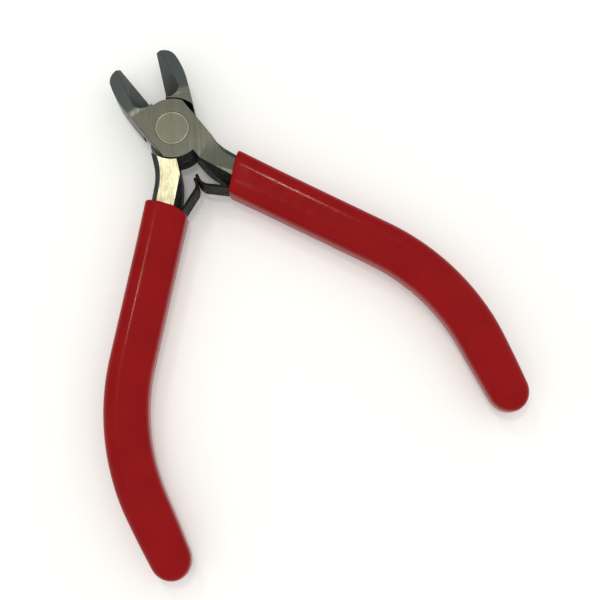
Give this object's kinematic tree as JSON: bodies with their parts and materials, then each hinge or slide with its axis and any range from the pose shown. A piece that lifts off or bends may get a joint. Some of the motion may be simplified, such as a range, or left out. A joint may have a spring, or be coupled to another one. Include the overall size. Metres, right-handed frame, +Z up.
{
  "type": "diagonal cutting pliers",
  "caption": "Small diagonal cutting pliers with a lap joint, a flush pivot rivet, leaf springs between the handles and dipped red plastic grips.",
  "frame": {"origin": "on the pivot axis, at the rear face on which the tool lies", "axes": "+Y to the jaws along the middle line of the open tool, +Z up from the rear face to the front face along the pivot, +X to the right seen from the front"},
  "size_m": [0.09, 0.109, 0.0096],
  "materials": {
    "arm_steel": "ground faces, blackened forged sides",
    "rivet_steel": "ground flush",
    "spring_steel": "blackened spring steel",
    "small_rivet_steel": "plain",
    "grip_plastic": "dipped soft plastic, satin gloss"
  },
  "bodies": {
    "front_arm": {"front_arm": "arm_steel", "pivot_rivet": "rivet_steel", "front_grip": "grip_plastic", "front_spring_rivet": "small_rivet_steel"},
    "rear_arm": {"rear_arm": "arm_steel", "rear_grip": "grip_plastic", "rear_spring_rivet": "small_rivet_steel"},
    "front_spring": {"front_leaf_spring": "spring_steel"},
    "rear_spring": {"rear_leaf_spring": "spring_steel"}
  },
  "joints": [
    {"name": "pivot", "type": "hinge", "parent": "front_arm", "child": "rear_arm", "pos_m": [0, 0, 0.0048], "axis": [0, 0, 1], "range_deg": [-4, 26], "stiffness_Nm_per_rad": 1.2},
    {"name": "front_leaf_flex", "type": "hinge", "parent": "front_arm", "child": "front_spring", "pos_m": [0, 0, 0.0048], "axis": [0, 0, 1], "range_deg": [-2.1, 13.1], "deforming": ["front_leaf_spring"]},
    {"name": "rear_leaf_flex", "type": "hinge", "parent": "rear_arm", "child": "rear_spring", "pos_m": [0, 0, 0.0048], "axis": [0, 0, 1], "range_deg": [-13.1, 2.1], "deforming": ["rear_leaf_spring"]}
  ],
  "couplings": [
    {"joint": "front_leaf_flex", "follows": "pivot", "ratio": 0.5},
    {"joint": "rear_leaf_flex", "follows": "pivot", "ratio": -0.5}
  ]
}
